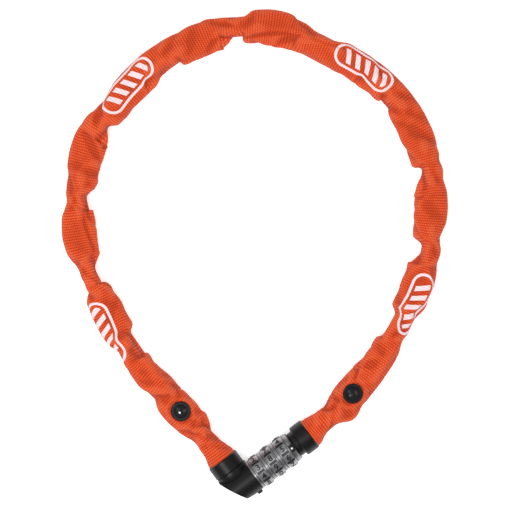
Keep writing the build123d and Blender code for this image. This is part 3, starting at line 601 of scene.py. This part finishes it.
# Where each point lies along the line. A fold pushes the cloth on both sides of it together.
ring_along = np.repeat(along[:, None], AROUND, axis=1)
swell = np.zeros_like(ring_along)  # mm outwards
for at, place, slant, spread, width, depth in WRINKLES:
    arc = (share_round - place) * SLEEVE_ROUND
    off = (along[:, None] - at - slant * arc[None, :]) / (width * math.hypot(1, slant) ** 0.5)
    swell = swell + WRINKLE_DEPTH * depth * bell(off) * bell(arc / spread)[None, :]
for at, overlap, reach, side in FOLDS:
    x = (along[:, None] - at) / reach
    push = x * bell(x) * math.exp(0.5)  # 1 at most, one reach away
    ring_along = ring_along - FOLD_GAIN * overlap * push * bell(round_gap(side) / FOLD_SPREAD)[None, :]
    # a rounded lip on each side of the fold, and the dip between them
    lips = (bell((x - LIP_PLACE) / LIP_WIDTH) + bell((x + LIP_PLACE) / LIP_WIDTH)) / 2
    shape = LIP_HEIGHT * overlap * (lips - DIP_DEPTH * bell(x / DIP_WIDTH))
    lip_side = side + (LIP_TO_TOP if side < 0.5 else -LIP_TO_TOP)
    swell = swell + shape * bell(round_gap(lip_side) / LIP_SPREAD)[None, :]
END_EASE = 5.0  # mm from a collar in which nothing is folded
ends = eased_step(np.minimum(along, LENGTH - along) / END_EASE)[:, None]
ring_along = along[:, None] + (ring_along - along[:, None]) * ends
# the outside of the loop's bend is pulled tight, and the slack is at its inside
TAUT, TAUT_SPREAD = 0.75, 0.12
slack_round = 1 - TAUT * bell(round_gap(0.75) / TAUT_SPREAD)
swell = swell * ends * slack_round[None, :]


def at_line(where):
    """The centre line's point, and its direction to the loop's inside, at each distance in mm."""
    flat = where.ravel()

    def read(source):
        found = [np.interp(flat, along, source[:, k]) for k in (0, 1)]
        return np.column_stack(found).reshape(*where.shape, 2)

    return read(line), read(inward)


def outward(points):
    """Outward normals of a tube's grid of points."""
    down = np.gradient(points, axis=0)
    around = np.roll(points, -1, axis=1) - np.roll(points, 1, axis=1)
    normals = np.cross(around, down)
    normals /= np.maximum(np.linalg.norm(normals, axis=2, keepdims=True), 1e-9)
    from_middle = points - points.mean(axis=1, keepdims=True)
    return normals if (normals * from_middle).sum() > 0 else -normals


centre, way = at_line(ring_along)
points = np.zeros((*ring_along.shape, 3))
points[..., :2] = centre + way * rings[..., :1]
points[..., 2] = rings[..., 1] + AXIS_HEIGHT / MM
points = points + outward(points) * swell[..., None]


# ---------------------------------------------------------------- clear of the metal inside

# All in mm
RIVETS = ("rivet_left", "rivet_right")
RIVET_FLAT, RIVET_EASE = 4.6, 2.6  # how far from its middle a rivet holds the cloth flat, and then lets it go
PUFF_PLACE, PUFF_WIDTH = 6.4, 0.9  # the raised ring of cloth round a rivet
FIRST_PUFF, LAST_PUFF = 0.55, 0.35
RIM_UNDER = AXIS_HEIGHT / MM + 5.35
BACK_OVER = AXIS_HEIGHT / MM - 5.35
CLEAR = 0.35  # between the cloth and the metal under it
RAY_START = 7.0  # outside the cloth
SLOPE_REACH, SLOPE_WIDTH = 5, 3.2  # in mesh points, round each place that is moved out
FLOOR_GAP = 0.05


def under_rivets(points, puffed):
    """Presses the cloth flat between each rivet's rim and its back."""
    for rivet in RIVETS:
        low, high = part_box(rivet)
        middle = np.array(((low + high) / 2).xy) / MM
        away = np.hypot(points[..., 0] - middle[0], points[..., 1] - middle[1])
        hold = eased_step(1 - (away - RIVET_FLAT) / RIVET_EASE)
        top = points[..., 2] > AXIS_HEIGHT / MM
        puff = puffed * bell((away - PUFF_PLACE) / PUFF_WIDTH) * (1 - hold)
        points[..., 2] = points[..., 2] + np.where(top, puff, -puff)
        points[..., 2] = points[..., 2] * (1 - hold) + np.where(top, RIM_UNDER, BACK_OVER) * hold
    return points


metal = [frame["nodes"][n] for n in frame["nodes"]
         if n.startswith(("chain_left", "chain_right", "chain_pin", "end_link", "lock_frame", "bolt_head"))]
corners, faces = [], []
for node in metal:
    start = len(corners)
    corners += [v.co / MM for v in node.data.vertices]
    faces += [[start + i for i in p.vertices] for p in node.data.polygons]
metal_tree = BVHTree.FromPolygons(corners, faces)


def clear_of_metal(points):
    """Moves the cloth out wherever the metal would show through it, with a slope round each such place."""
    centre, way = at_line(ring_along)
    middles = np.zeros_like(points)
    middles[..., :2] = centre + way * ((inner - outer) / 2)[:, None, None]
    middles[..., 2] = AXIS_HEIGHT / MM
    rays = points - middles
    length = np.linalg.norm(rays, axis=2)
    rays /= np.maximum(length, 1e-6)[..., None]
    short = np.zeros(length.shape)
    for i in range(points.shape[0]):
        for k in range(points.shape[1]):
            far = length[i, k] + RAY_START
            ray = Vector(rays[i, k])
            hit, _, _, gap = metal_tree.ray_cast(Vector(middles[i, k]) + ray * far, -ray, far)
            if hit is not None:
                short[i, k] = max(0.0, far - gap + CLEAR - length[i, k])
    spread = short.copy()
    for rows in range(-SLOPE_REACH, SLOPE_REACH + 1):
        for columns in range(-SLOPE_REACH, SLOPE_REACH + 1):
            fade = math.exp(-((rows / SLOPE_WIDTH) ** 2 + (columns / SLOPE_WIDTH) ** 2))
            spread = np.maximum(spread, np.roll(short, (rows, columns), axis=(0, 1)) * fade)
    return points + rays * spread[..., None]


def relaxed(points, times, share):
    """Evens the cloth out a little, along and round."""
    for _ in range(times):
        even = (np.roll(points, 1, axis=1) + np.roll(points, -1, axis=1)) / 4
        even[1:-1] += (points[2:] + points[:-2]) / 4
        even[0], even[-1] = points[0], points[-1]
        points = points + (even - points) * share
    return points


SIM_SCALE = 20.0  # the cloth solver works at this many times the real size
SIM_FRAMES = 16
MOST_MOVED = 1.1  # mm
HELD = 0.12  # how strongly a point is held to its place, where 1 is fixed
HELD_ENDS, HELD_RIVETS = 4.0, 6.0  # mm from a collar, and from a rivet's middle, that are fixed
SLACK = 0.10  # how much too long the cloth is, as a share


def crumpled(points):
    """Lets a coarse copy of the sleeve buckle as cloth that is too long for its path, and adds what moved."""
    coarse = points[::2, ::2] * MM * SIM_SCALE
    rows, columns = coarse.shape[:2]
    quads = [(i * columns + k, i * columns + (k + 1) % columns,
              (i + 1) * columns + (k + 1) % columns, (i + 1) * columns + k)
             for i in range(rows - 1) for k in range(columns)]
    mesh = bpy.data.meshes.new("cloth_run")
    mesh.from_pydata(coarse.reshape(-1, 3).tolist(), [], quads)
    run = add_object("cloth_run", mesh)
    hold = run.vertex_groups.new(name="hold")
    held = np.full((rows, columns), HELD)
    held[np.minimum(along[::2], LENGTH - along[::2]) < HELD_ENDS] = 1.0
    for rivet in RIVETS:
        low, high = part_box(rivet)
        middle = np.array(((low + high) / 2).xy) * SIM_SCALE
        away = np.hypot(coarse[..., 0] - middle[0], coarse[..., 1] - middle[1]) / (MM * SIM_SCALE)
        held[away < HELD_RIVETS] = 1.0
    for weight in (HELD, 1.0):
        hold.add(np.nonzero(held.ravel() == weight)[0].tolist(), weight, "REPLACE")
    cloth = run.modifiers.new("cloth", "CLOTH")
    cloth.settings.quality = 6
    cloth.settings.mass = 0.3
    cloth.settings.tension_stiffness = 18
    cloth.settings.compression_stiffness = 12
    cloth.settings.shear_stiffness = 4
    cloth.settings.bending_stiffness = 0.25
    cloth.settings.vertex_group_mass = "hold"
    cloth.settings.pin_stiffness = 0.6
    cloth.settings.shrink_min = -SLACK
    cloth.settings.shrink_max = -SLACK
    cloth.settings.effector_weights.gravity = 0.05
    cloth.collision_settings.use_collision = False
    scene = bpy.context.scene
    for step in range(1, SIM_FRAMES + 1):
        scene.frame_set(step)
    shown = run.evaluated_get(bpy.context.evaluated_depsgraph_get()).to_mesh()
    co = np.zeros(len(shown.vertices) * 3)
    shown.vertices.foreach_get("co", co)
    moved = (co.reshape(coarse.shape) - coarse) / (MM * SIM_SCALE)
    bpy.data.objects.remove(run)
    scene.frame_set(1)
    # the outline stays where it is: what moves the whole section out is taken away again
    out = outward(coarse)
    growth = (moved * out).sum(axis=2)
    even = np.repeat(growth.mean(axis=1)[:, None], columns, axis=1)
    moved = (moved - out * even[..., None]) * slack_round[None, ::2, None]
    size = np.linalg.norm(moved, axis=2, keepdims=True)
    moved *= np.minimum(1.0, MOST_MOVED / np.maximum(size, 1e-9))
    fine = np.zeros_like(points)
    fine[::2, ::2] = moved
    fine[1::2, ::2] = ((moved + np.r_[moved[1:], moved[-1:]]) / 2)[:len(fine[1::2])]
    fine[:, 1::2] = (fine[:, ::2] + np.roll(fine[:, ::2], -1, axis=1)) / 2
    return points + fine


points = crumpled(points)
points = under_rivets(points, FIRST_PUFF)
points = clear_of_metal(points)
points = relaxed(points, 2, 0.5)
points = clear_of_metal(points)
points[..., 2] = np.maximum(points[..., 2], FLOOR_GAP)
points = under_rivets(points, LAST_PUFF)

CREASE_BLUR = 26  # rounds of evening out


def crease_depth(points):
    """How far each point lies below the cloth around it, in mm: plus in a crease, and minus on a ridge."""
    below = ((relaxed(points, CREASE_BLUR, 1.0) - points) * outward(points)).sum(axis=2)
    return below - np.median(below)


creases = crease_depth(points)


# ---------------------------------------------------------------- the cloth pieces

# The printed marks' middles: mm along, and mm from the top line towards the loop's outside
PRINTS = [(86.0, 5.0), (216.8, 1.4), (346.0, 1.2), (476.5, 2.7)]
# Each piece's side and number, and the chain pivots that it runs between, counted from the left collar
PIECES = [("left", k, 2 * k - 2, 2 * k) for k in range(1, 8)]
PIECES += [("right", k, LINKS - 2 * k + 2, LINKS - 2 * k) for k in range(1, 6)] + [("right", 6, 17, 14)]
cloth_material = sleeve_cloth()
normals = outward(points)


def ring_at(contact):
    return int(round(contact * LINK_STEP / (along[1] - along[0])))


def sleeve_piece(side, number, first, last):
    """One length of the sleeve, between two chain pivots."""
    low, high = sorted((ring_at(first), ring_at(last)))
    if side == "right" and number == 1:
        high = len(along) - 1
    rows = high - low + 1
    name = f"sleeve_cloth_{side}_{number}"
    mesh = bpy.data.meshes.new(name)
    verts = points[low:high + 1].reshape(-1, 3) * MM
    quads = []
    for i in range(rows - 1):
        for k in range(AROUND):
            a, b = i * AROUND + k, i * AROUND + (k + 1) % AROUND
            quads.append((a, b, b + AROUND, a + AROUND))
    mesh.from_pydata(verts.tolist(), [], quads)
    flip = (normals[low:high + 1].reshape(-1, 3)[quads[0][0]] @ np.array(mesh.polygons[0].normal)) < 0
    if flip:
        mesh.flip_normals()
    cloth = mesh.uv_layers.new(name="cloth")
    marks = mesh.uv_layers.new(name="print")
    loop_vert = np.zeros(len(mesh.loops), int)
    mesh.loops.foreach_get("vertex_index", loop_vert)
    row, column = loop_vert // AROUND + low, loop_vert % AROUND
    face_first = np.repeat(np.arange(len(mesh.polygons)), 4)
    columns = column.reshape(-1, 4)
    wraps = (columns.max(axis=1) - columns.min(axis=1)) > AROUND / 2
    u_column = np.where(wraps[face_first] & (column == 0), AROUND, column)
    u = (u_column / AROUND - 0.5) * SLEEVE_ROUND * MM
    v = along[row] * MM
    cloth.data.foreach_set("uv", np.column_stack([u, v]).ravel())
    nearest = min(PRINTS, key=lambda p: abs(p[0] - (along[low] + along[high]) / 2))
    marks.data.foreach_set("uv", np.column_stack([u - nearest[1] * MM, v - nearest[0] * MM]).ravel())
    crease = mesh.attributes.new("crease", "FLOAT", "POINT")
    crease.data.foreach_set("value", creases[low:high + 1].ravel())
    mesh.materials.append(cloth_material)
    mesh.polygons.foreach_set("use_smooth", [True] * len(mesh.polygons))
    mesh.normals_split_custom_set_from_vertices(normals[low:high + 1].reshape(-1, 3).tolist())
    piece = add_object(name, mesh)

    hinge = joints[f"loop_{side}_{number}_bend"]
    a, b = hinge["parent"], hinge["child"]
    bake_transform(piece)
    replaced = [f"sleeve_{side}_{number}"] + ([f"sleeve_end_{side}"] if number == 1 else [])
    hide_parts(*replaced)


for side, number, first, last in PIECES:
    sleeve_piece(side, number, first, last)


# ---------------------------------------------------------------- digits on the dials

PAD_RADIUS = 8.5  # mm
PAD_STEP = 36.0  # degrees
FIRST_PAD = 18.0  # degrees
DIGIT_HEIGHT = 3.2  # mm
DIGIT_PROUD, DIGIT_SUNK = 0.12, 0.10  # mm above and below the pad's face
SHOWN_FIRST = (3, 8, 5)  # the digit on each dial's first pad
BENDS = 8  # slices of a digit, so that it follows the dial round


def digit_outline(text):
    """A digit as a thin solid, its centre at the origin, in mm, with its thickness from 0 to 1."""
    curve = bpy.data.curves.new("digit", "FONT")
    curve.body = text
    curve.extrude = 0.05
    curve.offset = 0.02
    holder = add_object("digit", curve)
    bpy.context.view_layer.update()
    shown = holder.evaluated_get(bpy.context.evaluated_depsgraph_get())
    made = bmesh.new()
    made.from_mesh(shown.to_mesh())
    bpy.data.objects.remove(holder)
    co = np.array([v.co for v in made.verts])
    low, high = co.min(axis=0), co.max(axis=0)
    scale = DIGIT_HEIGHT / (high[1] - low[1])
    for v in made.verts:
        v.co.x = (v.co.x - (low[0] + high[0]) / 2) * scale
        v.co.y = (v.co.y - (low[1] + high[1]) / 2) * scale
        v.co.z = (v.co.z - low[2]) / (high[2] - low[2])
    for cut in np.linspace(-DIGIT_HEIGHT / 2, DIGIT_HEIGHT / 2, BENDS + 1)[1:-1]:
        bmesh.ops.bisect_plane(made, geom=made.verts[:] + made.edges[:] + made.faces[:],
                               plane_co=(0, cut, 0), plane_no=(0, 1, 0))
    return made


digits = {str(n): digit_outline(str(n)) for n in range(10)}


def dial_digits(number):
    joined = bmesh.new()
    u = (number - 2) * DIAL_PITCH
    for pad in range(10):
        shape = digits[str((SHOWN_FIRST[number - 1] + pad) % 10)]
        angle = math.radians(FIRST_PAD - PAD_STEP * pad)
        copies = {}
        for v in shape.verts:
            turn = angle + v.co.y / PAD_RADIUS
            radius = PAD_RADIUS - DIGIT_SUNK + v.co.z * (DIGIT_SUNK + DIGIT_PROUD)
            place = lock_point(u + v.co.x, radius * math.sin(turn), radius * math.cos(turn))
            copies[v] = joined.verts.new(place)
        for face in shape.faces:
            joined.faces.new([copies[v] for v in face.verts])
    mesh = bpy.data.meshes.new(f"digits_{number}")
    bmesh.ops.recalc_face_normals(joined, faces=joined.faces[:])
    joined.to_mesh(mesh)
    mesh.materials.append(digit_paint_and_recess_shade)
    piece = add_object(f"digits_{number}", mesh)
    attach(piece, f"number_dial_{number}")


for number in (1, 2, 3):
    dial_digits(number)


# ---------------------------------------------------------------- the marks that the code is read against

TAPER = [(10.5, 7.85), (11.75, 7.85), (13.0, 7.2)]  # the end ring: mm along the lock axis, and radius
MARK_PROUD = 0.07  # mm


def curved_block(bm, u_range, angle_range, radius_at, thickness):
    """A block that follows a ring, between two places in mm and two angles in degrees."""
    us = np.linspace(*u_range, 5)
    turns = np.radians(np.linspace(*angle_range, 9))

    def layer(depth):
        made = []
        for u in us:
            r = radius_at(u) - depth
            made.append([bm.verts.new(lock_point(u, r * math.sin(t), r * math.cos(t))) for t in turns])
        return made

    top, under = layer(0.0), layer(thickness)
    for i in range(len(us) - 1):
        for k in range(len(turns) - 1):
            bm.faces.new([top[i][k], top[i][k + 1], top[i + 1][k + 1], top[i + 1][k]])
            bm.faces.new([under[i][k], under[i + 1][k], under[i + 1][k + 1], under[i][k + 1]])
    rim = [(i, 0) for i in range(len(us))] + [(len(us) - 1, k) for k in range(1, len(turns))]
    rim += [(i, len(turns) - 1) for i in range(len(us) - 2, -1, -1)]
    rim += [(0, k) for k in range(len(turns) - 2, 0, -1)]
    for (i, k), (m, n) in zip(rim, rim[1:] + rim[:1]):
        bm.faces.new([top[i][k], top[m][n], under[m][n], under[i][k]])


def ring_mark(name, blocks, material):
    bm = bmesh.new()
    for block in blocks:
        curved_block(bm, *block)
    bmesh.ops.recalc_face_normals(bm, faces=bm.faces[:])
    mesh = bpy.data.meshes.new(name)
    bm.to_mesh(mesh)
    mesh.materials.append(material)
    piece = add_object(name, mesh)
    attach(piece, "lock_body")


def on_taper(u):
    return float(np.interp(u, *zip(*TAPER))) + MARK_PROUD


# Each block: mm along the lock axis, degrees round it, its top's radius, and its thickness
# the dark frame round the end mark's recess and the dark sheet on its floor are painted shade
frame_sides = [((10.62, 10.95), (-15, 15)), ((12.25, 12.8), (-15, 15)),
               ((10.95, 12.25), (-15, -5.4)), ((10.95, 12.25), (5.4, 15))]
ring_mark("mark_end_frame", [(*sides, on_taper, 0.3) for sides in frame_sides], digit_paint_and_recess_shade)
floor_block = ((10.97, 12.23), (-5.3, 5.3), lambda u: 7.30, 0.05)
ring_mark("mark_end_floor", [floor_block], digit_paint_and_recess_shade)
ring_mark("mark_end", [((11.15, 12.05), (-3.4, 3.4), lambda u: 7.75, 0.50)], mark_paint)
ring_mark("mark_index", [((-11.38, -10.62), (-2.6, 2.6), lambda u: 7.80, 0.30)], mark_paint)


# ---------------------------------------------------------------- floor

def pale_floor():
    s = Shader("floor")
    place = s.place()
    cloud = s.noise(place, 3.0, 2.0)
    s.link(s.mix(cloud, (0.90, 0.90, 0.90, 1.0), (0.93, 0.93, 0.93, 1.0)), s.bsdf.inputs["Base Color"])
    s.set(Roughness=0.7, Specular_IOR_Level=0.2, Emission_Color=(1.0, 1.0, 1.0, 1.0), Emission_Strength=0.50)
    return s.material


FLOOR_REACH = 3.0
floor_mesh = bpy.data.meshes.new("floor")
floor_corners = [(x * FLOOR_REACH, y * FLOOR_REACH, 0) for x, y in ((-1, -1), (1, -1), (1, 1), (-1, 1))]
floor_mesh.from_pydata(floor_corners, [], [(0, 1, 2, 3)])
floor_mesh.materials.append(pale_floor())
floor = add_object("floor", floor_mesh)
